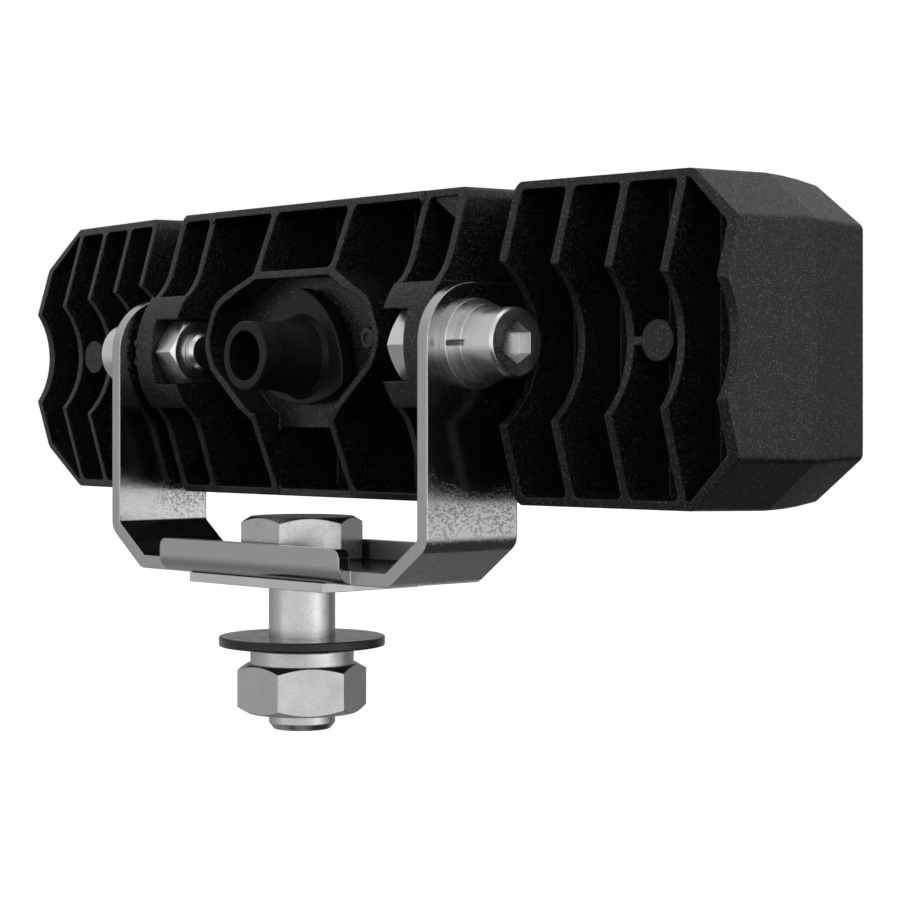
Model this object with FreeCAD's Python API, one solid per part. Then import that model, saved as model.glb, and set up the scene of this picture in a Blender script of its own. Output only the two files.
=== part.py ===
import FreeCAD, Part
import math
import os

# Fog light on a U bracket, millimetres, +Z up, lens facing -Y.
# Origin: underside of the bracket's pad plate, on the axis of the M10 bolt.

V = FreeCAD.Vector
os.makedirs("parts", exist_ok=True)

# ---- driving dimensions ----
PIVOT_Z = 35.4            # tilt axis above the mounting seat

# housing outline (half sizes) and depths along Y, measured from the tilt axis
HALF_X = 80.3             # end face
HALF_Z = 22.4             # top face
CORNER_X = 71.7           # chamfer start on the top face
CORNER_Z = 15.6           # chamfer end on the end face
WIDEST_Y = -22.4          # parting depth, widest section
WIDEST_GROW = 0.4
SHOULDER_Y = -30.0
FRONT_Y = -34.4
FRONT_INSET = 1.8         # how far the end faces turn in at the front
FRONT_INSET_Z = 0.8
FLOOR_Y = -14.0           # rear face of the heat sink floor
FLOOR_FRONT_Y = -18.0     # front face of the heat sink floor
WALL = 1.2                # fin and top wall thickness
END_WALL = 1.6
CELL_R = 0.9              # corners of the cells between fins
CORNER_CUT = 0.6          # softening of the long outer edges
BLOCK_R = 1.8             # outer corners of the finned blocks

# end blocks
FIN_X = (43.1, 52.1, 61.2, 70.3)
END_ENV = (8.47, 0.133, 0.296)      # rear ridge: depth, fall per X, fall per Z
SCOOP_Y = 6.3             # tool scoop axis behind the tilt axis
SCOOP_R = 13.2
POST_X = 66.1
POST_R = 2.8

# centre block
CENTRE_HALF_X = 34.0
CENTRE_TOP_Y = -2.45
CENTRE_SLOPE = 0.398
CENTRE_FLAT_Y = 2.8
INNER_FIN_X = 25.5
SIDE_TOP_Y = -2.65        # outer fins of the centre block sweep into the ears
SWEEP = ((0.1, 13.3), (1.35, 10.6), (3.55, 8.3))
OUTLET_RIB_X = 9.2

# pivot ears
EAR_HALF_Z = 8.85
EAR_ARC_Y = -7.6
EAR_ARC_R = 13.9
EAR_IN_X = 24.9
EAR_OUT_X = 34.5
POCKET_IN_X = 30.3
POCKET_HALF_Z = 5.15
TOOTH_COUNT = 12
TOOTH_TOP_X = 35.3

# cable outlet
COLLAR = ((9.0, 11.9, 0.8), (18.6, 7.3, 5.5), (21.2, 1.0, 5.0), (19.3, -3.0, 3.5), (9.9, -10.8, 0.5))
COLLAR_WALL = 1.1
BOWL_FLOOR_Y = -2.5
SHELF_Z = -11.85
GLAND_R = 5.1
GLAND_BORE_R = 3.7
GLAND_Z = -1.15
GLAND_END_Y = 10.95
GLAND_FLARE_R = 6.5
GLAND_FLARE_Y = 6.3
GLAND_SHANK_R = 4.8
FLANGE_Y = 0.2
FLANGE = ((0.0, 9.2), (6.4, 4.9), (9.5, -5.7), (0.0, -8.4))

# lens side
RIM = 1.8
LEDGE_Y = -30.4
LENS_OUT = (75.5, 19.2, 59.8, 6.9)      # half x, half z, corner x, corner z
CAVITY = (73.0, 16.7, 58.9, 5.7)
WINDOW = (71.8, 15.6, 58.4, 5.3)
BEZEL_OPEN = (72.2, 16.0, 58.6, 5.5)
GASKET_T = 1.0
LENS_T = 2.0
BEZEL_T = 1.5
BEZEL_SCREW = (70.4, 14.7)
LED_COUNT = 8
LED_PITCH = 17.6

# bracket
ARM_X = 37.8              # outer face of each arm
SHEET = 2.0
ARM_HALF_Y = 8.55
BASE_TOP_Z = 3.4          # above the seat
BEND_HI_Z = 8.3
BEND_LO_X = 29.1
INNER_BEND_R = 0.6
LIP_HALF_X = 21.6
LIP_OUT_Y = 10.8
LIP_TOP_Z = 6.5

# pad plate
PAD = (32.2, 18.2, 1.4)

# M10 mounting stack
BOLT_R = 5.0
BOLT_LEN = 25.0
BOLT_AF = 16.0
BOLT_HEAD = 6.85
WASHER_R = 12.5
WASHER_T = 1.4
WASHER_TOP_Z = -7.75
NUT_AF = 17.0
NUT_H = 10.0
NUT_COLLAR_R = 7.8
NUT_COLLAR_H = 2.7
SLIP = 0.08               # radial clearance of shanks in holes

# M6 pivots
PIN_R = 3.0
PIN_HEAD_R = 4.9
PIN_HEAD_H = 5.4
PIN_LEN = 17.0
PIN_SOCKET_AF = 5.0
PIN_SOCKET_DEEP = 2.0
FLAT_R = 6.3
FLAT_T = 1.2
SPRING_R = 5.5
SPRING_T = 2.2
M6_AF = 10.0
M6_H = 4.6


# ---- helpers ----
def box(x0, x1, y0, y1, z0, z1):
    return Part.makeBox(x1 - x0, y1 - y0, z1 - z0, V(x0, y0, z0))


def cyl_x(r, x0, x1, y=0.0, z=0.0):
    return Part.makeCylinder(r, x1 - x0, V(x0, y, z), V(1, 0, 0))


def cyl_y(r, y0, y1, x=0.0, z=0.0):
    return Part.makeCylinder(r, y1 - y0, V(x, y0, z), V(0, 1, 0))


def cyl_z(r, z0, z1, x=0.0, y=0.0):
    return Part.makeCylinder(r, z1 - z0, V(x, y, z0), V(0, 0, 1))


def wire(points):
    return Part.makePolygon([V(*p) for p in points] + [V(*points[0])])


def prism(points, direction):
    return Part.Face(wire(points)).extrude(V(*direction))


def mirror_x(shape):
    return shape.mirror(V(0, 0, 0), V(1, 0, 0))


def both_ends(shape):
    return [shape, mirror_x(shape)]


def union(shapes):
    first = shapes[0]
    if len(shapes) == 1:
        return first
    return first.multiFuse(shapes[1:]).removeSplitter()


def group(shapes):
    return Part.makeCompound(shapes)


def octagon(half_x, half_z, corner_x, corner_z, y):
    return [
        (corner_x, y, half_z), (half_x, y, corner_z), (half_x, y, -corner_z), (corner_x, y, -half_z),
        (-corner_x, y, -half_z), (-half_x, y, -corner_z), (-half_x, y, corner_z), (-corner_x, y, half_z),
    ]


def slab(outline, y0, y1):
    return prism(octagon(*outline, y0), (0, y1 - y0, 0))


def hexagon(af, z0, z1):
    r = af / math.sqrt(3.0)
    pts = [(r * math.cos(math.radians(60 * i)), r * math.sin(math.radians(60 * i)), z0) for i in range(6)]
    return prism(pts, (0, 0, z1 - z0))


def chamfer_cone(af, z0, z1, top, bottom):
    # turned 30 degree chamfers on the corners of a hexagon
    r_in = af / 2.0 * 0.97
    r_out = af / math.sqrt(3.0) + 0.01
    drop = (r_out - r_in) * math.tan(math.radians(30))
    pts = [(0, 0, z0), (r_in if bottom else r_out, 0, z0)]
    if bottom:
        pts.append((r_out, 0, z0 + drop))
    if top:
        pts.append((r_out, 0, z1 - drop))
    pts += [(r_in if top else r_out, 0, z1), (0, 0, z1)]
    return Part.Face(wire(pts)).revolve(V(0, 0, 0), V(0, 0, 1), 360)


def rounded(points, radii, y):
    # open path in the XZ plane with arcs at the inner points
    edges = []
    last = V(points[0][0], y, points[0][1])
    for i in range(1, len(points) - 1):
        p = V(points[i][0], y, points[i][1])
        a = V(points[i - 1][0], y, points[i - 1][1]) - p
        b = V(points[i + 1][0], y, points[i + 1][1]) - p
        a.normalize()
        b.normalize()
        half = a.getAngle(b) / 2.0
        reach = radii[i] / math.tan(half)
        mid = a + b
        mid.normalize()
        start = p + a * reach
        end = p + b * reach
        centre = p + mid * (radii[i] / math.sin(half))
        edges.append(Part.makeLine(last, start))
        edges.append(Part.Arc(start, centre - mid * radii[i], end).toShape())
        last = end
    edges.append(Part.makeLine(last, V(points[-1][0], y, points[-1][1])))
    return edges


def to_frame(shape):
    moved = shape.copy()
    moved.translate(V(0, 0, PIVOT_Z))
    return moved


def export(name, shape):
    shape.exportStep("parts/" + name + ".step")


# ---- housing ----
def outer_section(y):
    if y >= WIDEST_Y:
        t = (y - WIDEST_Y) / (-6.0 - WIDEST_Y)
        grow = WIDEST_GROW * (1 - t)
        return (HALF_X + 0.2 * grow, HALF_Z + grow, CORNER_X + 0.3 * grow, CORNER_Z + grow, y)
    t = (WIDEST_Y - y) / (WIDEST_Y - FRONT_Y)
    inset = FRONT_INSET * t
    inset_z = FRONT_INSET_Z * t * t
    return (HALF_X + 0.1 - inset, HALF_Z + WIDEST_GROW - inset_z, CORNER_X + 0.1 - inset * 0.8,
            CORNER_Z + WIDEST_GROW - 0.3 * t, y)


def soft_corners(points, cut):
    # each corner becomes a short curve that starts cut mm before it
    out = []
    for i, p in enumerate(points):
        corner = V(*p)
        back = V(*points[i - 1]) - corner
        ahead = V(*points[(i + 1) % len(points)]) - corner
        start = corner + back.normalize() * cut
        end = corner + ahead.normalize() * cut
        for t in (0.0, 0.25, 0.5, 0.75, 1.0):
            q = start * (1 - t) ** 2 + corner * (2 * t * (1 - t)) + end * t ** 2
            out.append((q.x, q.y, q.z))
    return out


def outer_body():
    stations = (8.0, WIDEST_Y, -26.5, SHOULDER_Y, FRONT_Y)
    pieces = []
    for y0, y1 in zip(stations[:-1], stations[1:]):
        sections = [wire(soft_corners(octagon(*outer_section(y)), CORNER_CUT)) for y in (y0, y1)]
        pieces.append(Part.makeLoft(sections, True, True))
    return union(pieces)


def end_ridge(x):
    depth, per_x, per_z = END_ENV
    far_z = 30.0
    tip = depth - per_x * x
    return [(x, -40.0, -far_z), (x, tip - per_z * far_z, -far_z), (x, tip, 0.0),
            (x, tip - per_z * far_z, far_z), (x, -40.0, far_z)]


def end_block_envelope():
    x0 = FIN_X[0] - WALL / 2
    shape = Part.makeLoft([wire(end_ridge(x0)), wire(end_ridge(HALF_X + 3.0))], True, True)
    scoop = cyl_x(SCOOP_R, x0 - 1.0, HALF_X + 4.0, SCOOP_Y, 0.0)
    return shape.cut(scoop)


def corner_mask(x0, x1):
    # block with rounded corners along Y
    half = HALF_Z + 0.2
    block = box(x0, x1, -50.0, 20.0, -half, half)
    return block.makeFillet(BLOCK_R, [e for e in block.Edges if e.BoundBox.YLength > 60.0])


def centre_envelope():
    far_z = 30.0
    knee_z = HALF_Z - 0.3 - (CENTRE_FLAT_Y - CENTRE_TOP_Y) / CENTRE_SLOPE
    far_y = CENTRE_TOP_Y - CENTRE_SLOPE * (far_z - HALF_Z + 0.3)
    pts = [(-40.0, -far_z), (far_y, -far_z), (CENTRE_FLAT_Y, -knee_z), (CENTRE_FLAT_Y, knee_z),
           (far_y, far_z), (-40.0, far_z)]
    x = EAR_IN_X
    return prism([(-x, y, z) for y, z in pts], (2 * x, 0, 0))


def side_envelope():
    # profile of the two outer fins at each end of the centre block
    top = HALF_Z - 0.3
    (y0, z0), (y1, z1), (y2, z2) = SWEEP
    slope = (y0 - SIDE_TOP_Y) / (top - z0)
    far_z = 30.0
    far_y = SIDE_TOP_Y - slope * (far_z - top)
    x = EAR_IN_X

    def at(y, z):
        return V(x, y, z)

    edges = [
        Part.makeLine(at(-40, -far_z), at(far_y, -far_z)),
        Part.makeLine(at(far_y, -far_z), at(y0, -z0)),
        Part.Arc(at(y0, -z0), at(y1, -z1), at(y2, -z2)).toShape(),
        Part.makeLine(at(y2, -z2), at(CENTRE_FLAT_Y, -z2 + 1.5)),
        Part.makeLine(at(CENTRE_FLAT_Y, -z2 + 1.5), at(CENTRE_FLAT_Y, z2 - 1.5)),
        Part.makeLine(at(CENTRE_FLAT_Y, z2 - 1.5), at(y2, z2)),
        Part.Arc(at(y2, z2), at(y1, z1), at(y0, z0)).toShape(),
        Part.makeLine(at(y0, z0), at(far_y, far_z)),
        Part.makeLine(at(far_y, far_z), at(-40, far_z)),
        Part.makeLine(at(-40, far_z), at(-40, -far_z)),
    ]
    solid = Part.Face(Part.Wire(edges)).extrude(V(CENTRE_HALF_X - x, 0, 0))
    return solid


def rounded_cell(x0, x1, z0, z1):
    return round_cell_corners(box(x0, x1, FLOOR_Y, 12.0, z0, z1))


def round_cell_corners(block):
    return block.makeFillet(CELL_R, [e for e in block.Edges if e.BoundBox.YLength > 20.0])


def end_cells():
    top = HALF_Z - WALL
    cells = []
    for a, b in zip(FIN_X[:-1], FIN_X[1:]):
        cells.append(rounded_cell(a + WALL / 2, b - WALL / 2, -top, top))
    x0 = FIN_X[-1] + WALL / 2
    x1 = HALF_X - END_WALL
    corner_z = CORNER_Z - 0.6
    pts = [(x0, top), (CORNER_X - 0.2, top), (x1, corner_z), (x1, -corner_z), (CORNER_X - 0.2, -top), (x0, -top)]
    last = prism([(x, FLOOR_Y, z) for x, z in pts], (0, 26.0, 0))
    tight = [e for e in last.Edges if e.BoundBox.YLength > 20.0 and e.BoundBox.XMin > HALF_X - END_WALL - 0.1]
    cells.append(last.makeFillet(CELL_R, tight))
    return cells


def centre_cells():
    top = HALF_Z - WALL
    outer = CENTRE_HALF_X - WALL
    return [rounded_cell(INNER_FIN_X + WALL / 2, outer, -top, top),
            rounded_cell(OUTLET_RIB_X + WALL / 2, INNER_FIN_X - WALL / 2, -top, top)]


def outlet_cells():
    top = HALF_Z - WALL
    x = OUTLET_RIB_X - WALL / 2
    return [rounded_cell(-x, x, COLLAR[0][1], top), rounded_cell(-x, x, -top, SHELF_Z)]


def collar_prism(inset, y0, y1):
    # closed outline with its own rounding at each corner
    pts = [(x, z, r) for x, z, r in COLLAR]
    pts += [(-x, z, r) for x, z, r in reversed(COLLAR)]
    solid = prism([(x, y0, z) for x, z, r in pts], (0, y1 - y0, 0))
    for x, z, r in pts:
        solid = solid.makeFillet(r, [e for e in solid.Edges if is_edge_at(e, x, z)])
    if inset == 0.0:
        return solid
    face = [f for f in solid.Faces if f.BoundBox.YMax < y0 + 0.01][0]
    return face.makeOffset2D(-inset).extrude(V(0, y1 - y0, 0))


def is_edge_at(edge, x, z):
    b = edge.BoundBox
    return b.YLength > 1.0 and b.XLength < 0.01 and abs(b.XMin - x) < 0.01 and abs(b.ZMin - z) < 0.01


def bowl():
    # straight walled recess that runs out between the ribs below
    x = OUTLET_RIB_X - WALL / 2
    throat = box(-x, x, BOWL_FLOOR_Y, 14.0, -30.0, COLLAR[-1][1] + COLLAR_WALL + 1.0)
    return union([collar_prism(COLLAR_WALL, BOWL_FLOOR_Y, 14.0), throat])


def outlet_column():
    # solid foot of the recess, down to the shelf between the ribs
    x = OUTLET_RIB_X - WALL / 2
    shelf = box(-x, x, FLOOR_Y - 1.0, BOWL_FLOOR_Y, SHELF_Z, -9.0)
    column = collar_prism(0.0, FLOOR_Y - 1.0, 14.0).common(centre_envelope())
    return union([column, shelf])


def ear():
    half = EAR_HALF_Z
    y_edge = EAR_ARC_Y + math.sqrt(EAR_ARC_R ** 2 - half ** 2)
    lo = V(EAR_IN_X, y_edge, -half)
    hi = V(EAR_IN_X, y_edge, half)
    top = V(EAR_IN_X, EAR_ARC_Y + EAR_ARC_R, 0)
    back_lo = V(EAR_IN_X, FLOOR_Y - 1.0, -half)
    back_hi = V(EAR_IN_X, FLOOR_Y - 1.0, half)
    edges = [Part.makeLine(back_lo, lo), Part.Arc(lo, top, hi).toShape(),
             Part.makeLine(hi, back_hi), Part.makeLine(back_hi, back_lo)]
    block = Part.Face(Part.Wire(edges)).extrude(V(EAR_OUT_X - EAR_IN_X, 0, 0))
    pocket = box(EAR_IN_X - 3.0, POCKET_IN_X, -6.2, 12.0, -POCKET_HALF_Z, POCKET_HALF_Z)
    hole = cyl_x(PIN_R + SLIP, EAR_IN_X - 1.0, EAR_OUT_X + 2.0)
    return block.cut(pocket).cut(hole), pocket


def ear_teeth():
    teeth = []
    for i in range(TOOTH_COUNT):
        pts = [(EAR_OUT_X - 0.2, -0.95, 3.7), (EAR_OUT_X - 0.2, 0.95, 3.7), (TOOTH_TOP_X, 0.0, 3.7)]
        tooth = prism(pts, (0, 0, 2.7))
        tooth.rotate(V(0, 0, 0), V(1, 0, 0), 15.0 + 360.0 * i / TOOTH_COUNT)
        teeth.append(tooth)
    return teeth


def post():
    body = cyl_y(POST_R, FLOOR_Y - 1.0, SCOOP_Y - SCOOP_R, POST_X, 0.0)
    web = box(FIN_X[2], POST_X, FLOOR_Y - 1.0, SCOOP_Y - SCOOP_R, -WALL / 2, WALL / 2)
    return union([body, web])


def top_gusset():
    # cast web in the upper corner between the fins of the -X end of the centre block
    x0 = INNER_FIN_X + WALL / 2
    x1 = CENTRE_HALF_X - WALL
    top = HALF_Z - WALL
    pts = [(-x0 + 0.3, top + 0.3), (-x1 - 0.3, top + 0.3), (-x1 - 0.3, top - 4.6)]
    return prism([(x, FLOOR_Y - 1.0, z) for x, z in pts], (0, -2.9 - FLOOR_Y + 1.0, 0))


def front_cuts():
    rim = outer_section(FRONT_Y)
    recess = (rim[0] - RIM, rim[1] - RIM, rim[2] - RIM * 0.6, rim[3] - RIM * 0.5)
    cuts = [slab(recess, FRONT_Y - 1.0, LEDGE_Y), slab(CAVITY, LEDGE_Y - 1.0, FLOOR_FRONT_Y)]
    cuts.append(cyl_y(11.0, FLOOR_FRONT_Y - 1.0, -6.5))
    cuts.append(cyl_y(GLAND_SHANK_R + 0.05, -10.0, 4.0, 0.0, GLAND_Z))
    cuts.append(cyl_y(1.5, -3.6, 4.0, *VENT))
    cuts.append(cyl_y(0.7, -20.0, 0.0, *VENT))
    for x, z in corners(*BEZEL_SCREW):
        cuts.append(cyl_y(1.30, LEDGE_Y - 1.0, -24.0, x, z))
    for x, z in BOARD_HOLES:
        cuts.append(cyl_y(1.55, FLOOR_FRONT_Y - 1.0, -14.6, x, z))
    return cuts


VENT = (-12.8, 1.4)
BOARD_HOLES = [(sx * x, sz * 11.2) for x in (60.2, 26.4) for sx in (1, -1) for sz in (1, -1)]


def corners(x, z):
    return [(x, z), (-x, z), (-x, -z), (x, -z)]


def housing():
    outer = outer_body()
    core = box(-90, 90, FRONT_Y - 1.0, FLOOR_Y, -30, 30)
    centre = union([centre_envelope()] + both_ends(side_envelope()))
    centre = centre.common(corner_mask(-CENTRE_HALF_X, CENTRE_HALF_X))
    end = end_block_envelope().common(corner_mask(FIN_X[0] - WALL / 2, 110.0))
    body = outer.common(union([core, centre] + both_ends(end)))
    cells = []
    for cell in end_cells() + centre_cells():
        cells += both_ends(cell)
    body = body.cut(group(cells + outlet_cells()))
    ear_block, pocket = ear()
    body = union([body, outlet_column()] + both_ends(ear_block) + both_ends(post()) + [top_gusset()])
    body = body.cut(group(both_ends(pocket) + [bowl()]))
    body = body.cut(group(both_ends(cyl_x(PIN_R + SLIP, 23.4, 36.0))))
    body = union([body] + both_ends(group(ear_teeth())))
    return body.cut(group(front_cuts()))


# ---- cable outlet ----
def flange_outline(y):
    # rounded triangle with its point up
    (x0, z0), (x1, z1), (x2, z2), (x3, z3) = FLANGE
    apex = V(x0, y, z0)
    right = V(x2, y, z2)
    left = V(-x2, y, z2)
    return Part.Wire([
        Part.Arc(apex, V(x1, y, z1), right).toShape(),
        Part.Arc(right, V(x3, y, z3), left).toShape(),
        Part.Arc(left, V(-x1, y, z1), apex).toShape(),
    ])


def cable_gland():
    seat = BOWL_FLOOR_Y + 0.8
    flange = Part.Face(flange_outline(seat)).extrude(V(0, FLANGE_Y - seat, 0))
    corners_y = [e for e in flange.Edges if e.BoundBox.XLength < 0.01 and e.BoundBox.ZLength < 0.01]
    flange = flange.makeFillet(0.9, corners_y)
    rim = [e for e in flange.Edges if e.BoundBox.YMin > FLANGE_Y - 0.01]
    flange = flange.makeFillet(0.3, rim)
    pts = [(0, -7.5), (GLAND_SHANK_R, -7.5), (GLAND_SHANK_R, FLANGE_Y - 0.5), (GLAND_FLARE_R, FLANGE_Y - 0.5),
           (GLAND_FLARE_R, FLANGE_Y), (GLAND_FLARE_R - 0.45, 1.0), (GLAND_R + 0.62, 2.2), (GLAND_R + 0.3, 3.6),
           (GLAND_R + 0.08, 5.0), (GLAND_R, GLAND_FLARE_Y), (GLAND_R, GLAND_END_Y - 0.2),
           (GLAND_R - 0.2, GLAND_END_Y), (0, GLAND_END_Y)]
    tube = Part.Face(wire([(r, y, 0) for r, y in pts])).revolve(V(0, 0, 0), V(0, 1, 0), 360)
    tube.translate(V(0, 0, GLAND_Z))
    return union([tube, flange]).cut(cyl_y(GLAND_BORE_R, -9.0, 12.0, 0.0, GLAND_Z))


def gland_seal():
    ring = cyl_y(6.8, BOWL_FLOOR_Y, BOWL_FLOOR_Y + 0.8, 0.0, GLAND_Z)
    return ring.cut(cyl_y(GLAND_SHANK_R + 0.1, -4.0, 1.0, 0.0, GLAND_Z))


def gland_clip():
    ring = cyl_y(7.6, -7.5, -6.5, 0.0, GLAND_Z)
    return ring.cut(cyl_y(GLAND_SHANK_R + 0.03, -9.0, 1.0, 0.0, GLAND_Z))


def pressure_vent():
    cap = cyl_y(1.45, -3.6, -1.9, *VENT)
    return cap.cut(cyl_y(0.8, -2.3, 0.2, *VENT))


# ---- light engine ----
def thermal_pad():
    sheet = slab((69.8, 13.4, 61.0, 6.3), FLOOR_FRONT_Y - 0.5, FLOOR_FRONT_Y)
    holes = [cyl_y(1.8, -20, -17, x, z) for x, z in BOARD_HOLES]
    return sheet.cut(group(holes + [cyl_y(9.5, -20, -17)]))


BOARD_BACK = FLOOR_FRONT_Y - 0.5
BOARD_FRONT = BOARD_BACK - 1.6


def circuit_board():
    sheet = slab((70.5, 14.0, 61.3, 6.6), BOARD_FRONT, BOARD_BACK)
    holes = [cyl_y(1.6, BOARD_FRONT - 1, BOARD_BACK + 1, x, z) for x, z in BOARD_HOLES]
    slot = box(-3.2, 3.2, BOARD_FRONT - 1, BOARD_BACK + 1, -13.0, -9.6)
    return sheet.cut(group(holes + [slot]))


def led_xs():
    return [(i - (LED_COUNT - 1) / 2.0) * LED_PITCH for i in range(LED_COUNT)]


def led_emitters():
    leds = []
    for x in led_xs():
        base = box(x - 1.75, x + 1.75, BOARD_FRONT - 0.7, BOARD_FRONT, -1.75, 1.75)
        dome = Part.makeSphere(1.5, V(x, BOARD_FRONT - 0.7, 0))
        dome = dome.common(box(x - 2, x + 2, BOARD_FRONT - 3, BOARD_FRONT - 0.6, -2, 2))
        leds.append(base.fuse(dome).removeSplitter())
    return group(leds)


def board_screws():
    screws = []
    for x, z in BOARD_HOLES:
        head = cyl_y(2.6, BOARD_FRONT - 1.8, BOARD_FRONT, x, z)
        shank = cyl_y(1.5, BOARD_FRONT - 0.1, -14.8, x, z)
        cross = [box(x - 1.3, x + 1.3, BOARD_FRONT - 2.0, BOARD_FRONT - 0.8, z - 0.3, z + 0.3),
                 box(x - 0.3, x + 0.3, BOARD_FRONT - 2.0, BOARD_FRONT - 0.8, z - 1.3, z + 1.3)]
        screws.append(union([head, shank]).cut(group(cross)))
    return group(screws)


def driver_parts():
    parts = []
    for x, w, h, d in ((-8.8, 5.0, 4.0, 1.2), (8.8, 5.0, 4.0, 1.2), (-44.0, 3.2, 2.5, 1.4), (44.0, 3.2, 2.5, 1.4)):
        parts.append(box(x - w / 2, x + w / 2, BOARD_FRONT - d, BOARD_FRONT, 10.2 - h / 2, 10.2 + h / 2))
    return group(parts)


def wire_terminal():
    block = box(-4.2, 4.2, BOARD_BACK, BOARD_BACK + 4.0, -7.6, -2.6)
    holes = [cyl_y(0.85, BOARD_BACK + 1.0, BOARD_BACK + 5.0, x, -5.1) for x in (-2.0, 2.0)]
    return block.cut(group(holes))


def lead_wire(side):
    # straight out of the terminal, then an easy bend to the mouth of the gland
    x = 2.0 * side
    start = V(x, BOARD_BACK + 1.2, -5.1)
    leave = V(x, BOARD_BACK + 4.2, -5.1)
    end = V(x * 0.9, -7.7, GLAND_Z - 0.5)
    path = Part.BSplineCurve()
    path.interpolate(Points=[leave, end], InitialTangent=V(0, 1, 0), FinalTangent=V(0, 1, 0))
    spine = Part.Wire([Part.makeLine(start, leave), path.toShape()])
    disc = Part.Wire([Part.Circle(start, V(0, 1, 0), 0.75).toShape()])
    return spine.makePipeShell([disc], True, True)


def bowl_profile(offset):
    # parabolic bowl section: radius against depth
    pts = []
    for i in range(7):
        t = i / 6.0
        pts.append((2.6 + 5.6 * math.sqrt(t) + offset, -21.4 - 8.7 * t))
    return pts


def bowl_solid(x, offset, y_back, y_front):
    prof = bowl_profile(offset)
    pts = [(0, y_back), (prof[0][0], y_back)] + prof + [(prof[-1][0], y_front), (0, y_front)]
    face = Part.Face(wire([(x + r, y, 0) for r, y in pts]))
    return face.revolve(V(x, 0, 0), V(0, 1, 0), 360)


def reflector():
    outline = (CAVITY[0] - 0.4, CAVITY[1] - 0.4, CAVITY[2] - 0.2, CAVITY[3] - 0.2)
    plate = slab(outline, -30.3, -29.1)
    shells = [bowl_solid(x, 0.55, -21.3, -30.2) for x in led_xs()]
    feet = [cyl_y(1.4, -30.0, BOARD_FRONT, x, z) for x in (52.8, 0.0, -52.8) for z in (11.6, -11.6)]
    body = union([plate] + shells + feet)
    return body.cut(group([bowl_solid(x, 0.0, -21.0, -31.0) for x in led_xs()]))


# ---- lens side ----
def inset(outline, d):
    return (outline[0] - d, outline[1] - d, outline[2] - d * 0.5, outline[3] - d * 0.4)


GASKET_FRONT = LEDGE_Y - GASKET_T
LENS_FRONT = GASKET_FRONT - LENS_T


def lens_gasket():
    return slab(LENS_OUT, GASKET_FRONT, LEDGE_Y).cut(slab(inset(CAVITY, -0.2), -40, -20))


def lens():
    flange = slab(LENS_OUT, LENS_FRONT, GASKET_FRONT)
    window = slab(WINDOW, LENS_FRONT - BEZEL_T + 0.2, LENS_FRONT)
    return union([flange, window])


def front_bezel():
    rim = outer_section(FRONT_Y)
    d = RIM + 0.2
    outline = (rim[0] - d, rim[1] - d, rim[2] - d * 0.6, rim[3] - d * 0.5)
    frame = slab(outline, LENS_FRONT - BEZEL_T, LENS_FRONT)
    skirt = slab(outline, LENS_FRONT, LEDGE_Y).cut(slab(inset(LENS_OUT, -0.3), -40, -20))
    body = union([frame, skirt]).cut(slab(BEZEL_OPEN, -40, -20))
    holes = [cyl_y(1.4, -40, -20, x, z) for x, z in corners(*BEZEL_SCREW)]
    sinks = [cyl_y(2.5, LENS_FRONT - BEZEL_T - 0.1, LENS_FRONT - 0.1, x, z) for x, z in corners(*BEZEL_SCREW)]
    return body.cut(group(holes + sinks))


def bezel_screws():
    screws = []
    seat = LENS_FRONT - 0.1
    for x, z in corners(*BEZEL_SCREW):
        head = cyl_y(2.35, seat - 1.3, seat, x, z)
        shank = cyl_y(1.25, seat - 0.1, -24.2, x, z)
        cross = [box(x - 1.2, x + 1.2, seat - 2.0, seat - 0.6, z - 0.3, z + 0.3),
                 box(x - 0.3, x + 0.3, seat - 2.0, seat - 0.6, z - 1.2, z + 1.2)]
        screws.append(union([head, shank]).cut(group(cross)))
    return group(screws)


# ---- bracket ----
def bracket():
    top = PIVOT_Z + ARM_HALF_Y + 1.0
    xi = ARM_X - SHEET
    z_hi = BEND_HI_Z
    z_in = BASE_TOP_Z
    dx = xi - BEND_LO_X
    dz = z_hi - z_in
    slope = math.hypot(dx, dz)
    # outer path is the inner one moved out by the sheet thickness
    nx = dz / slope * SHEET
    nz = -dx / slope * SHEET
    z_out_hi = z_hi + nz + (ARM_X - xi - nx) * dz / dx
    x_out_lo = BEND_LO_X + nx + ((z_in - SHEET) - (z_in + nz)) * dx / dz
    inner = [(xi, top), (xi, z_hi), (BEND_LO_X, z_in), (-BEND_LO_X, z_in), (-xi, z_hi), (-xi, top)]
    outer = [(ARM_X, top), (ARM_X, z_out_hi), (x_out_lo, z_in - SHEET), (-x_out_lo, z_in - SHEET),
             (-ARM_X, z_out_hi), (-ARM_X, top)]
    r_in = INNER_BEND_R
    r_out = INNER_BEND_R + SHEET
    y0 = -ARM_HALF_Y
    edges = rounded(inner, [r_in] * 6, y0) + rounded(outer, [r_out] * 6, y0)
    edges.append(Part.makeLine(V(xi, y0, top), V(ARM_X, y0, top)))
    edges.append(Part.makeLine(V(-xi, y0, top), V(-ARM_X, y0, top)))
    profile = Part.Wire(Part.__sortEdges__(edges))
    strip = Part.Face(profile).extrude(V(0, 2 * ARM_HALF_Y, 0))
    side = union([cyl_x(ARM_HALF_Y, -50, 50, 0, PIVOT_Z), box(-50, 50, -ARM_HALF_Y, ARM_HALF_Y, -5, PIVOT_Z)])
    strip = strip.common(side)
    body = union([strip, lip(1), lip(-1)])
    holes = [cyl_x(PIN_R + SLIP, -50, 50, 0, PIVOT_Z), cyl_z(BOLT_R + SLIP, -5, 10)]
    return body.cut(group(holes))


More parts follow.
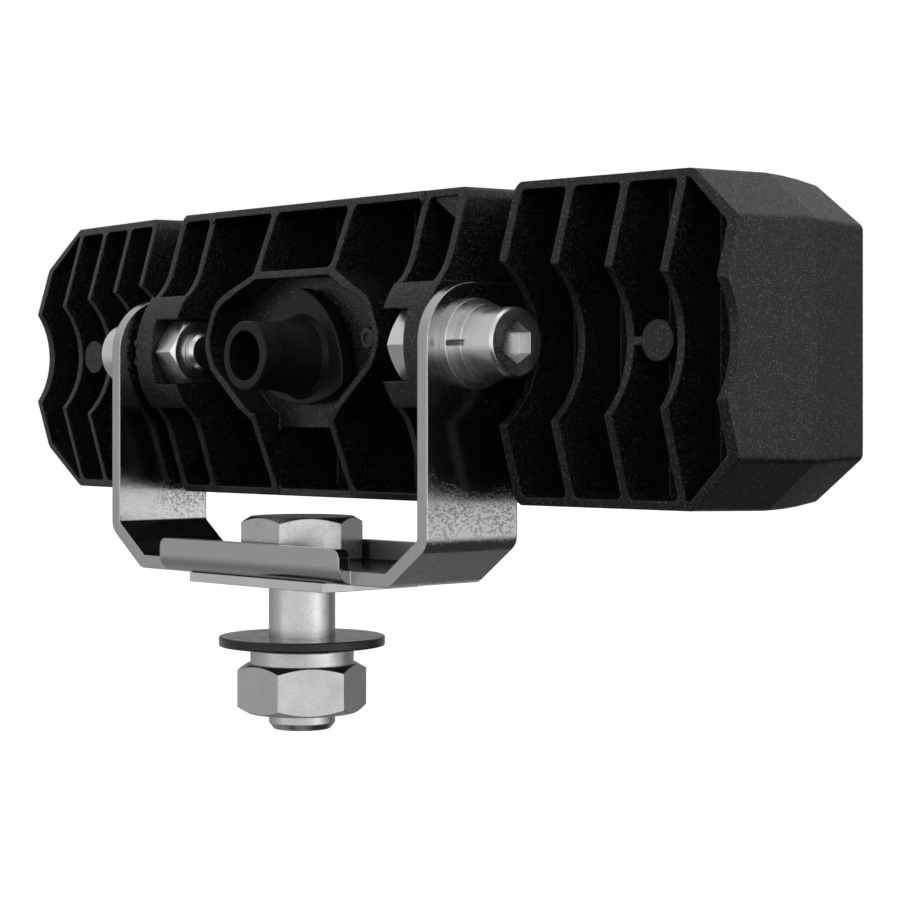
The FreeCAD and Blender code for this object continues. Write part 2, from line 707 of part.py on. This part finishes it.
def lip(side):
    z0 = BASE_TOP_Z - SHEET
    r_out = INNER_BEND_R + SHEET
    out = LIP_OUT_Y
    start = V(-LIP_HALF_X, 6.0, z0)
    a = V(-LIP_HALF_X, out - r_out, z0)
    m = V(-LIP_HALF_X, out - r_out * (1 - math.sqrt(0.5)), z0 + r_out * (1 - math.sqrt(0.5)))
    b = V(-LIP_HALF_X, out, z0 + r_out)
    c = V(-LIP_HALF_X, out, LIP_TOP_Z)
    d = V(-LIP_HALF_X, out - SHEET, LIP_TOP_Z)
    e = V(-LIP_HALF_X, out - SHEET, z0 + r_out)
    q = INNER_BEND_R * (1 - math.sqrt(0.5))
    f = V(-LIP_HALF_X, out - SHEET - q, z0 + SHEET + q)
    g = V(-LIP_HALF_X, out - r_out, z0 + SHEET)
    h = V(-LIP_HALF_X, 6.0, z0 + SHEET)
    edges = [Part.makeLine(start, a), Part.Arc(a, m, b).toShape(), Part.makeLine(b, c), Part.makeLine(c, d),
             Part.makeLine(d, e), Part.Arc(e, f, g).toShape(), Part.makeLine(g, h), Part.makeLine(h, start)]
    solid = Part.Face(Part.Wire(edges)).extrude(V(2 * LIP_HALF_X, 0, 0))
    top_edges = [k for k in solid.Edges if is_lip_corner(k)]
    solid = solid.makeFillet(1.4, top_edges)
    if side < 0:
        solid = solid.mirror(V(0, 0, 0), V(0, 1, 0))
    return solid


def is_lip_corner(edge):
    b = edge.BoundBox
    at_end = abs(abs(b.XMin) - LIP_HALF_X) < 0.01 and b.XLength < 0.01
    return at_end and abs(b.ZMin - LIP_TOP_Z) < 0.01 and b.ZLength < 0.01


def base_pad():
    w, d, t = PAD
    return box(-w / 2, w / 2, -d / 2, d / 2, 0, t).cut(cyl_z(BOLT_R + SLIP, -5, 10))


# ---- M10 mounting stack ----
def mounting_bolt():
    z0 = BASE_TOP_Z
    head = hexagon(BOLT_AF, z0, z0 + BOLT_HEAD).common(chamfer_cone(BOLT_AF, z0, z0 + BOLT_HEAD, True, False))
    end = z0 - BOLT_LEN
    shank = cyl_z(BOLT_R, end + 0.9, z0 + 0.1)
    tip = Part.makeCone(BOLT_R - 0.7, BOLT_R, 0.9, V(0, 0, end), V(0, 0, 1))
    return union([head, shank, tip])


def mounting_washer():
    top = WASHER_TOP_Z
    ring = cyl_z(WASHER_R, top - WASHER_T, top)
    rims = [e for e in ring.Edges if e.BoundBox.ZLength < 0.01]
    return ring.makeFillet(0.2, rims).cut(cyl_z(BOLT_R + SLIP, -30, 0))


def lock_nut():
    top = WASHER_TOP_Z - WASHER_T
    hex_top = top - NUT_COLLAR_H
    bottom = top - NUT_H
    body = hexagon(NUT_AF, bottom, hex_top).common(chamfer_cone(NUT_AF, bottom, hex_top, True, True))
    collar = cyl_z(NUT_COLLAR_R, hex_top - 0.5, top)
    rims = [e for e in collar.Edges if e.BoundBox.ZLength < 0.01 and e.BoundBox.ZMin > top - 0.01]
    body = union([body, collar.makeFillet(0.8, rims)])
    return body.cut(group([cyl_z(BOLT_R + SLIP, -30, 0), cyl_z(6.5, top - 2.2, top + 1.0)]))


def lock_nut_insert():
    top = WASHER_TOP_Z - WASHER_T
    return cyl_z(6.47, top - 2.2, top - 0.3).cut(cyl_z(BOLT_R + SLIP / 2, -30, 0))


# ---- M6 pivots, built on the +X side about the tilt axis ----
def along_x(shape):
    # turn a Z axis solid so +Z points outward along +X
    turned = shape.copy()
    turned.rotate(V(0, 0, 0), V(0, 1, 0), 90)
    return turned


HEAD_SEAT = ARM_X + FLAT_T + SPRING_T


def pivot_screw():
    head = cyl_z(PIN_HEAD_R, HEAD_SEAT, HEAD_SEAT + PIN_HEAD_H)
    rims = [e for e in head.Edges if e.BoundBox.ZLength < 0.01 and e.BoundBox.ZMin > HEAD_SEAT + 1.0]
    head = head.makeChamfer(0.35, rims)
    shank = cyl_z(PIN_R, HEAD_SEAT - PIN_LEN + 0.6, HEAD_SEAT + 0.1)
    tip = Part.makeCone(PIN_R - 0.45, PIN_R, 0.6, V(0, 0, HEAD_SEAT - PIN_LEN), V(0, 0, 1))
    body = union([head, shank, tip])
    socket = hexagon(PIN_SOCKET_AF, HEAD_SEAT + PIN_HEAD_H - PIN_SOCKET_DEEP, HEAD_SEAT + PIN_HEAD_H + 1.0)
    return along_x(body.cut(socket))


def flat_washer():
    ring = cyl_z(FLAT_R, ARM_X, ARM_X + FLAT_T).cut(cyl_z(PIN_R + SLIP, 0, 60))
    return along_x(ring)


def spring_washer():
    z0 = ARM_X + FLAT_T
    ring = cyl_z(SPRING_R, z0, z0 + SPRING_T).cut(cyl_z(PIN_R + SLIP, 0, 60))
    slit = box(-0.4, 0.4, 2.0, 8.0, z0 - 1.0, z0 + SPRING_T + 1.0)
    return along_x(ring.cut(slit))


def pivot_nut():
    z0 = POCKET_IN_X - M6_H
    body = hexagon(M6_AF, z0, POCKET_IN_X)
    body.rotate(V(0, 0, 0), V(0, 0, 1), 30)
    body = body.common(chamfer_cone(M6_AF, z0, POCKET_IN_X, True, True))
    return along_x(body.cut(cyl_z(PIN_R + SLIP / 2, 0, 60)))


def pivot_pair(shape):
    return group([to_frame(s) for s in both_ends(shape)])


# ---- export ----
HOUSING_PARTS = (
    ("housing", housing), ("cable_gland", cable_gland), ("gland_seal", gland_seal), ("gland_clip", gland_clip),
    ("pressure_vent", pressure_vent), ("thermal_pad", thermal_pad), ("circuit_board", circuit_board),
    ("led_emitters", led_emitters), ("board_screws", board_screws), ("driver_parts", driver_parts),
    ("wire_terminal", wire_terminal), ("reflector", reflector), ("lens_gasket", lens_gasket), ("lens", lens),
    ("front_bezel", front_bezel), ("bezel_screws", bezel_screws),
)
for name, make in HOUSING_PARTS:
    export(name, to_frame(make()))
export("lead_wire_positive", to_frame(lead_wire(1)))
export("lead_wire_negative", to_frame(lead_wire(-1)))

PIVOT_PARTS = (("pivot_screws", pivot_screw), ("pivot_flat_washers", flat_washer),
               ("pivot_spring_washers", spring_washer), ("pivot_nuts", pivot_nut))
for name, make in PIVOT_PARTS:
    export(name, pivot_pair(make()))

SEAT_PARTS = (("bracket", bracket), ("base_pad", base_pad), ("mounting_bolt", mounting_bolt),
              ("mounting_washer", mounting_washer), ("lock_nut", lock_nut), ("lock_nut_insert", lock_nut_insert))
for name, make in SEAT_PARTS:
    export(name, make())
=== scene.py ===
import math

import bmesh
import bpy
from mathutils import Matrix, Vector


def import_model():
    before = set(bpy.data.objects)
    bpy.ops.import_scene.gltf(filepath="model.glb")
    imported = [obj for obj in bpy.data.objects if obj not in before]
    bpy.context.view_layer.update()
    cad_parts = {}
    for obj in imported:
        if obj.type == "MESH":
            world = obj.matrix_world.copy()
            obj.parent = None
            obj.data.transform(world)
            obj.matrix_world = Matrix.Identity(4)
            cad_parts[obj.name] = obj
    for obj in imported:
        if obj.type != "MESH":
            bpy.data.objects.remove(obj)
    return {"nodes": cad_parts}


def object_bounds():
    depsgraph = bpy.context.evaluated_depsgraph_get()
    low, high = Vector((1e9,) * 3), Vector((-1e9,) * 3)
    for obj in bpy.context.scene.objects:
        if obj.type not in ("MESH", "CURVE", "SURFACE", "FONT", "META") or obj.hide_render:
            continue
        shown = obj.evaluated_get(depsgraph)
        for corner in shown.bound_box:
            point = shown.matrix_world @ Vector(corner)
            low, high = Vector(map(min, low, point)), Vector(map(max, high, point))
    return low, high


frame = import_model()
CAD_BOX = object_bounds()
NODES = frame["nodes"]

LATTICE_TURN = (0.61, 0.83, 0.37)   # keeps flat faces off the lattice of the noise
SMALL_EDGE = 0.0002                 # rounding shown on the edges of small parts, in metres
SHEET_EDGE = 0.0003
CAST_EDGE = 0.0004


# ---- node graph helper ----
class Graph:
    """A small builder for shader node trees."""

    def __init__(self, tree, vector):
        self.tree = tree
        self.vector = self.node("ShaderNodeTexCoord").outputs[vector]

    def node(self, kind):
        return self.tree.nodes.new(kind)

    def link(self, a, b):
        self.tree.links.new(a, b)

    def put(self, socket, value):
        if isinstance(value, (int, float)):
            socket.default_value = value
        elif isinstance(value, tuple):
            socket.default_value = (*value, 1.0) if len(value) == 3 and socket.type == "RGBA" else value
        else:
            self.link(value, socket)

    def placed(self, stretch=(1.0, 1.0, 1.0)):
        m = self.node("ShaderNodeMapping")
        m.inputs["Scale"].default_value = stretch
        m.inputs["Rotation"].default_value = LATTICE_TURN
        self.link(self.vector, m.inputs["Vector"])
        return m.outputs[0]

    def noise(self, scale, detail=3.0, rough=0.55, stretch=(1.0, 1.0, 1.0)):
        n = self.node("ShaderNodeTexNoise")
        n.inputs["Scale"].default_value = scale
        n.inputs["Detail"].default_value = detail
        n.inputs["Roughness"].default_value = rough
        self.link(self.placed(stretch), n.inputs["Vector"])
        return n.outputs["Fac"]

    def cells(self, scale):
        v = self.node("ShaderNodeTexVoronoi")
        v.inputs["Scale"].default_value = scale
        self.link(self.placed(), v.inputs["Vector"])
        sep = self.node("ShaderNodeSeparateColor")
        self.link(v.outputs["Color"], sep.inputs[0])
        return v.outputs["Distance"], sep.outputs[0]

    def remap(self, value, a, b, lo, hi, smooth=False):
        m = self.node("ShaderNodeMapRange")
        if smooth:
            m.interpolation_type = "SMOOTHSTEP"
        for key, v in (("From Min", a), ("From Max", b), ("To Min", lo), ("To Max", hi)):
            self.put(m.inputs[key], v)
        self.link(value, m.inputs["Value"])
        return m.outputs["Result"]

    def math(self, op, a, b=None):
        m = self.node("ShaderNodeMath")
        m.operation = op
        for i, v in enumerate((a, b)):
            if v is not None:
                self.put(m.inputs[i], v)
        return m.outputs[0]

    def mix(self, fac, a, b):
        m = self.node("ShaderNodeMix")
        m.data_type = "RGBA"
        self.put(m.inputs["Factor"], fac)
        colours = [s for s in m.inputs if s.type == "RGBA"]
        self.put(colours[0], a)
        self.put(colours[1], b)
        return [s for s in m.outputs if s.type == "RGBA"][0]

    def split(self, vector):
        sep = self.node("ShaderNodeSeparateXYZ")
        self.link(vector, sep.inputs[0])
        return sep.outputs


class Mat(Graph):
    """A procedural material in the object's own coordinates."""

    SOCKETS = {"metallic": "Metallic", "ior": "IOR", "spec": "Specular IOR Level",
               "trans": "Transmission Weight"}

    def __init__(self, name, **constants):
        self.mat = bpy.data.materials.new(name)
        self.mat.use_nodes = True
        self.mat.node_tree.nodes.clear()
        super().__init__(self.mat.node_tree, "Object")
        out = self.node("ShaderNodeOutputMaterial")
        self.bsdf = self.node("ShaderNodeBsdfPrincipled")
        self.link(self.bsdf.outputs[0], out.inputs["Surface"])
        for key, value in constants.items():
            self.bsdf.inputs[self.SOCKETS[key]].default_value = value

    def color(self, socket):
        self.link(socket, self.bsdf.inputs["Base Color"])

    def rough(self, socket):
        self.link(socket, self.bsdf.inputs["Roughness"])

    def relief(self, height, strength, distance, edge):
        # fine relief on top of a small rounding of the edges
        bevel = self.node("ShaderNodeBevel")
        bevel.samples = 6
        bevel.inputs["Radius"].default_value = edge
        b = self.node("ShaderNodeBump")
        b.inputs["Strength"].default_value = strength
        b.inputs["Distance"].default_value = distance
        self.link(height, b.inputs["Height"])
        self.link(bevel.outputs[0], b.inputs["Normal"])
        self.link(b.outputs[0], self.bsdf.inputs["Normal"])


def grey(v):
    return (v, v, v)


def powder_coat(name, base=0.002, fleck=0.3, rough=0.4, spec=0.3):
    # satin black coat with fine metallic specks
    m = Mat(name, ior=1.5, spec=spec)
    distance, chance = m.cells(5600.0)
    dot = m.remap(distance, 0.2, 0.5, 1.0, 0.0, True)
    shining = m.math("MULTIPLY", dot, m.remap(chance, 0.68, 1.0, 0.0, 0.7))
    m.link(shining, m.bsdf.inputs["Metallic"])
    cloud = m.remap(m.noise(45.0, 3.0), 0.35, 0.65, 0.0, 1.0)
    m.color(m.mix(shining, m.mix(cloud, grey(base * 0.8), grey(base * 1.3)), grey(fleck)))
    m.rough(m.remap(m.noise(2400.0, 2.0), 0.3, 0.7, rough - 0.1, rough + 0.1))
    m.relief(m.noise(3200.0, 2.0), 0.5, 0.00005, CAST_EDGE)
    return m.mat


def zinc(name, tone=0.42, rough=0.2, grain=(1.0, 1.0, 1.0), grain_bump=0.12, stains=0.3):
    # zinc plated steel: cloudy passivation, fine grain and a few dull stains
    m = Mat(name, metallic=1.0)
    cloud = m.remap(m.noise(160.0, 4.0), 0.3, 0.7, 0.0, 1.0)
    base = m.mix(cloud, grey(tone * 0.94), grey(tone * 1.05))
    stain = m.remap(m.noise(420.0, 5.0, 0.65), 0.60, 0.74, 0.0, stains, True)
    m.color(m.mix(stain, base, grey(tone * 0.55)))
    fine = m.noise(2600.0, 3.0, 0.6, grain)
    worn = m.remap(m.noise(240.0, 3.0), 0.35, 0.7, 0.0, 0.1)
    m.rough(m.math("ADD", m.remap(fine, 0.3, 0.7, rough - 0.04, rough + 0.06), worn))
    m.relief(fine, grain_bump, 0.00002, SMALL_EDGE)
    return m.mat


def bracket_sheet(name, tone=0.43):
    # pressed zinc sheet: smooth faces with handling scuffs, duller sheared edges
    m = Mat(name, metallic=1.0)
    normal = m.split(m.node("ShaderNodeNewGeometry").outputs["Normal"])
    place = m.split(m.vector)
    facing = m.remap(m.math("ABSOLUTE", normal[1]), 0.75, 0.9, 0.0, 1.0)
    outermost = m.remap(m.math("ABSOLUTE", place[1]), 0.0078, 0.0083, 0.0, 1.0)
    sheared = m.math("MULTIPLY", facing, outermost)
    cloud = m.remap(m.noise(120.0, 4.0), 0.3, 0.7, 0.0, 1.0)
    grain = m.noise(2600.0, 4.0, 0.7)
    specks = m.noise(2200.0, 5.0, 0.75, (0.7, 0.7, 1.2))
    scuff = m.remap(specks, 0.5, 0.62, 0.0, 1.0, True)
    patch = m.remap(m.noise(110.0, 4.0), 0.42, 0.66, 0.0, 1.0, True)
    scuffed = m.math("MULTIPLY", scuff, patch)
    face = m.mix(cloud, grey(tone * 0.93), grey(tone * 1.06))
    face = m.mix(m.math("MULTIPLY", scuffed, 0.3), face, grey(tone * 0.6))
    m.color(m.mix(sheared, face, grey(tone * 0.85)))
    smooth = m.remap(grain, 0.3, 0.7, 0.1, 0.24)
    dull = m.math("ADD", smooth, m.math("MULTIPLY", scuffed, 0.16))
    m.rough(m.math("ADD", dull, m.math("MULTIPLY", sheared, 0.2)))
    height = m.math("ADD", grain, m.math("MULTIPLY", scuffed, -0.6))
    m.relief(height, 0.45, 0.00003, SHEET_EDGE)
    return m.mat


def plain(name, color, rough, metallic=0.0, scale=800.0, bump=0.15, spread=0.2, spec=0.5):
    # one cloudy colour with a fine surface grain
    m = Mat(name, metallic=metallic, spec=spec)
    cloud = m.remap(m.noise(scale * 0.1, 3.0), 0.3, 0.7, 0.0, 1.0)
    low = tuple(c * (1 - spread) for c in color)
    high = tuple(min(1.0, c * (1 + spread)) for c in color)
    m.color(m.mix(cloud, low, high))
    smooth = max(0.02, rough - 0.06)
    dull = min(1.0, rough + 0.08)
    m.rough(m.remap(m.noise(scale * 0.5, 2.0), 0.3, 0.7, smooth, dull))
    m.relief(m.noise(scale, 2.0), bump, 0.00003, SMALL_EDGE)
    return m.mat


def clear_lens(name):
    m = Mat(name, ior=1.5, trans=0.95)
    cloud = m.remap(m.noise(40.0), 0.3, 0.7, 0.0, 1.0)
    m.color(m.mix(cloud, (0.93, 0.95, 0.96), (0.97, 0.98, 0.99)))
    m.rough(m.remap(m.noise(300.0), 0.3, 0.7, 0.02, 0.05))
    return m.mat


MATERIALS = {
    "housing": powder_coat("housing_coat"),
    "front_bezel": powder_coat("bezel_coat", 0.003, 0.08, 0.45, 0.24),
    "cable_gland": plain("gland_rubber", grey(0.004), 0.45, spec=0.2, scale=2400.0, bump=0.25),
    "gland_seal": plain("seal_rubber", grey(0.012), 0.7),
    "gland_clip": zinc("clip_zinc", rough=0.3),
    "pressure_vent": plain("vent_plastic", grey(0.03), 0.4, scale=2400.0),
    "thermal_pad": plain("thermal_silicone", (0.4, 0.43, 0.47), 0.7),
    "circuit_board": plain("board_white", (0.75, 0.76, 0.74), 0.4, spread=0.05),
    "led_emitters": plain("emitter_phosphor", (0.85, 0.68, 0.15), 0.35, spread=0.08),
    "board_screws": zinc("screw_zinc", 0.6, 0.28),
    "driver_parts": plain("chip_epoxy", grey(0.02), 0.45),
    "wire_terminal": plain("terminal_nylon", (0.7, 0.7, 0.66), 0.45, spread=0.05),
    "lead_wire_positive": plain("wire_red", (0.5, 0.02, 0.02), 0.4),
    "lead_wire_negative": plain("wire_black", grey(0.015), 0.4),
    "reflector": plain("reflector_aluminised", (0.85, 0.86, 0.88), 0.08, 1.0, bump=0.02,
                       spread=0.03),
    "lens_gasket": plain("gasket_silicone", grey(0.02), 0.75),
    "lens": clear_lens("lens_polycarbonate"),
    "bezel_screws": zinc("screw_black", 0.08, 0.35),
    "bracket": bracket_sheet("bracket_zinc"),
    "base_pad": zinc("pad_zinc", 0.55, 0.3, grain_bump=0.25),
    "mounting_bolt": zinc("bolt_zinc", 0.42, 0.2),
    "mounting_washer": plain("washer_black", grey(0.008), 0.16, scale=1200.0, bump=0.05,
                             spec=0.25),
    "lock_nut": zinc("nut_zinc", 0.41, 0.24, stains=0.15),
    "lock_nut_insert": plain("insert_nylon", (0.15, 0.25, 0.45), 0.4),
    "pivot_screws": zinc("pivot_zinc", 0.6, 0.26, stains=0.15),
    "pivot_flat_washers": zinc("flat_washer_zinc", 0.64, 0.26),
    "pivot_spring_washers": zinc("spring_washer_zinc", 0.62, 0.26, grain=(0.2, 1.0, 1.0)),
    "pivot_nuts": zinc("pivot_nut_zinc", 0.66, 0.26, stains=0.15),
}
for name, node in NODES.items():
    node.data.materials.clear()
    node.data.materials.append(MATERIALS[name])


# ---- stage: floor, light, camera ----
FLOOR_DROP = 0.08         # the lamp hangs clear of the floor, so that no shadow shows
FLOOR_HALF = 6.0
FLOOR_GLOW = 0.35         # lifts the pale floor to white


def floor_plane():
    low = CAD_BOX[0].z - FLOOR_DROP
    mesh = bpy.data.meshes.new("floor")
    bm = bmesh.new()
    square = ((-1, -1), (1, -1), (1, 1), (-1, 1))
    bm.faces.new([bm.verts.new((x * FLOOR_HALF, y * FLOOR_HALF, low)) for x, y in square])
    bm.to_mesh(mesh)
    bm.free()
    floor = bpy.data.objects.new("floor", mesh)
    bpy.context.scene.collection.objects.link(floor)
    m = Mat("floor_pale")
    m.color(m.mix(m.noise(3.0), grey(0.88), grey(0.92)))
    m.rough(m.remap(m.noise(5.0), 0.3, 0.7, 0.8, 0.9))
    m.bsdf.inputs["Emission Color"].default_value = (1.0, 1.0, 1.0, 1.0)
    m.bsdf.inputs["Emission Strength"].default_value = FLOOR_GLOW
    mesh.materials.append(m.mat)
    floor.visible_diffuse = False
    floor.visible_glossy = False


# brightness of the studio wall round the object: (degrees from +X, brightness)
WALL = ((-180, 2.1), (-164, 2.5), (-138, 1.2), (-118, 0.6), (-106, 0.27), (-78, 0.34), (-42, 0.36),
        (-2, 0.48), (42, 0.80), (57, 0.95), (71, 1.45), (138, 1.45), (162, 1.75), (180, 2.1))
ABOVE = 0.8               # brightness overhead
BELOW = 0.06              # brightness below, towards -X
BELOW_FAR = 0.35          # brightness below, towards +X
UNDERFOOT = 0.4           # added straight below


def world():
    # a bright room for reflections and light, plain white to the camera
    w = bpy.data.worlds.new("studio")
    bpy.context.scene.world = w
    w.use_nodes = True
    w.node_tree.nodes.clear()
    g = Graph(w.node_tree, "Generated")
    x, y, z = g.split(g.vector)
    turn = g.math("ADD", g.math("DIVIDE", g.math("ARCTAN2", y, x), 2 * math.pi), 0.5)
    ramp = g.node("ShaderNodeValToRGB")
    g.link(turn, ramp.inputs[0])
    stops = ramp.color_ramp.elements
    peak = max(v for _, v in WALL)
    for i, (angle, value) in enumerate(WALL):
        place = angle / 360.0 + 0.5
        stop = stops[0] if i == 0 else stops[-1] if i == len(WALL) - 1 else stops.new(place)
        stop.position = place
        stop.color = (*grey(value / peak), 1.0)
    wall = g.math("MULTIPLY", g.split(ramp.outputs[0])[0], peak)
    up = g.remap(z, 0.15, 0.65, 0.0, 1.0, True)
    down = g.remap(z, -0.42, -0.08, 1.0, 0.0, True)
    light = g.remap(up, 0.0, 1.0, wall, ABOVE)
    low = g.remap(x, 0.2, 0.4, BELOW, BELOW_FAR, True)
    lowest = g.remap(z, -0.99, -0.95, UNDERFOOT, 0.0, True)
    under = g.math("ADD", low, lowest)
    light = g.remap(down, 0.0, 1.0, light, under)
    seen = g.node("ShaderNodeLightPath").outputs["Is Camera Ray"]
    background = g.node("ShaderNodeBackground")
    background.inputs["Color"].default_value = (1.0, 1.0, 1.0, 1.0)
    g.link(g.remap(seen, 0.0, 1.0, light, 1.0), background.inputs["Strength"])
    out = g.node("ShaderNodeOutputWorld")
    g.link(background.outputs[0], out.inputs["Surface"])


def softbox(name, location, target, size, power):
    data = bpy.data.lights.new(name, "AREA")
    data.shape = "RECTANGLE"
    data.size, data.size_y = size
    data.energy = power
    lamp = bpy.data.objects.new(name, data)
    bpy.context.scene.collection.objects.link(lamp)
    lamp.location = location
    lamp.rotation_euler = (Vector(target) - Vector(location)).to_track_quat("-Z", "Y").to_euler()


CAMERA_PLACE = (-0.27664, 0.22185, 0.02614)
CAMERA_HEADING = 47.67    # degrees, seen from above
CAMERA_LENS = 93.95
CAMERA_SHIFT = -0.0439


def camera():
    # looks level at the rear of the lamp from its -X end
    heading = math.radians(CAMERA_HEADING)
    forward = Vector((math.sin(heading), -math.cos(heading), 0.0))
    data = bpy.data.cameras.new("camera")
    data.sensor_width = 36.0
    data.lens = CAMERA_LENS
    data.shift_y = CAMERA_SHIFT
    data.clip_start = 0.01
    data.clip_end = 50.0
    cam = bpy.data.objects.new("camera", data)
    bpy.context.scene.collection.objects.link(cam)
    cam.location = CAMERA_PLACE
    cam.rotation_euler = forward.to_track_quat("-Z", "Y").to_euler()
    bpy.context.scene.camera = cam


floor_plane()
world()
softbox("overhead", location=(-0.25, 0.1, 0.9), target=(0.0, 0.0, 0.03), size=(0.5, 0.5), power=0.8)
camera()
bpy.context.scene.view_settings.view_transform = "Standard"
